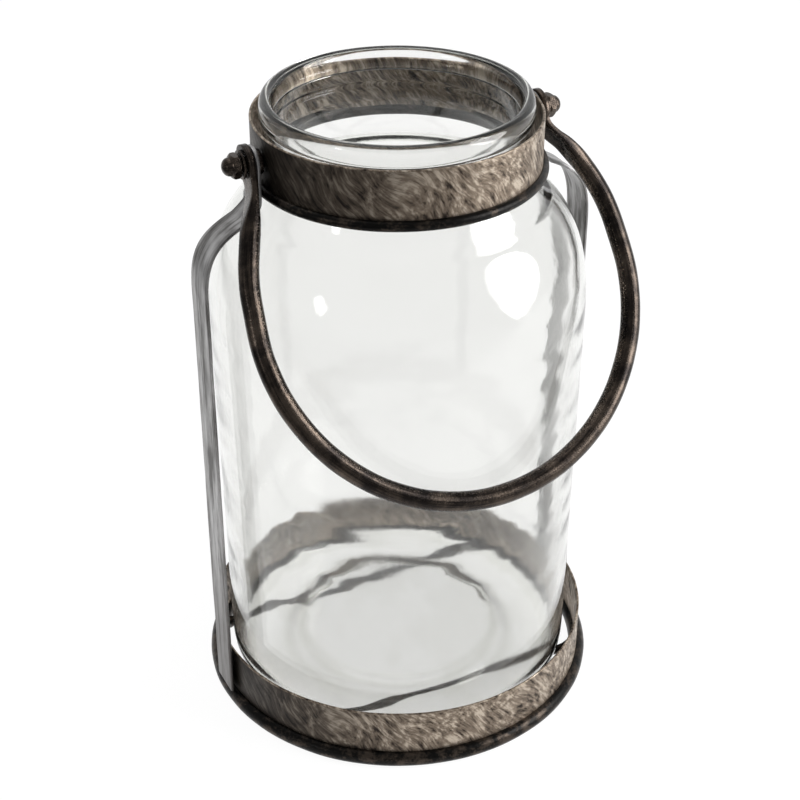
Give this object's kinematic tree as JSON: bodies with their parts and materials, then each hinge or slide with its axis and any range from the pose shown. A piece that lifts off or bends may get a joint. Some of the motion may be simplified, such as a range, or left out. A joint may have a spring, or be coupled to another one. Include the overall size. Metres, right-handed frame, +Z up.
{
  "type": "mason jar lantern",
  "caption": "Clear mason jar candle lantern in a patinated metal cradle, with side straps, a base hoop and a swinging bail handle.",
  "frame": {"origin": "centre of the base hoop, on the surface the lantern stands on", "axes": "+Z up through the jar's mouth; +X along the bail's pivot axis; the bail hangs down on the -Y side"},
  "size_m": [0.1399, 0.1376, 0.2157],
  "materials": {
    "clear_glass": "clear, smooth, slightly wavy moulded glass",
    "brushed_patina": "pewter brown patina with slanting brushed streaks",
    "dark_wire": "near black, satin, rubbed brighter on the crests",
    "grey_strap": "grey, brushed lengthwise",
    "gunmetal": "dark gunmetal with a bronze sheen, satin"
  },
  "bodies": {
    "root": {"glass_jar": "clear_glass", "collar_band": "brushed_patina", "collar_hoop": "dark_wire", "base_band": "brushed_patina", "base_hoop": "dark_wire", "cross_rod_front": "dark_wire", "cross_rod_rear": "dark_wire", "strap_left": "grey_strap", "strap_right": "grey_strap", "pivot_bolt_left": "gunmetal", "pivot_bolt_right": "gunmetal", "spacer_left": "gunmetal", "spacer_right": "gunmetal", "washer_left": "gunmetal", "washer_right": "gunmetal", "cap_nut_left": "gunmetal", "cap_nut_right": "gunmetal"},
    "handle": {"bail_handle": "gunmetal"}
  },
  "joints": [
    {"name": "bail_hinge", "type": "hinge", "parent": "root", "child": "handle", "pos_m": [0, 0, 0.2019], "axis": [-1, 0, 0], "range_deg": [0, 292.8]}
  ]
}
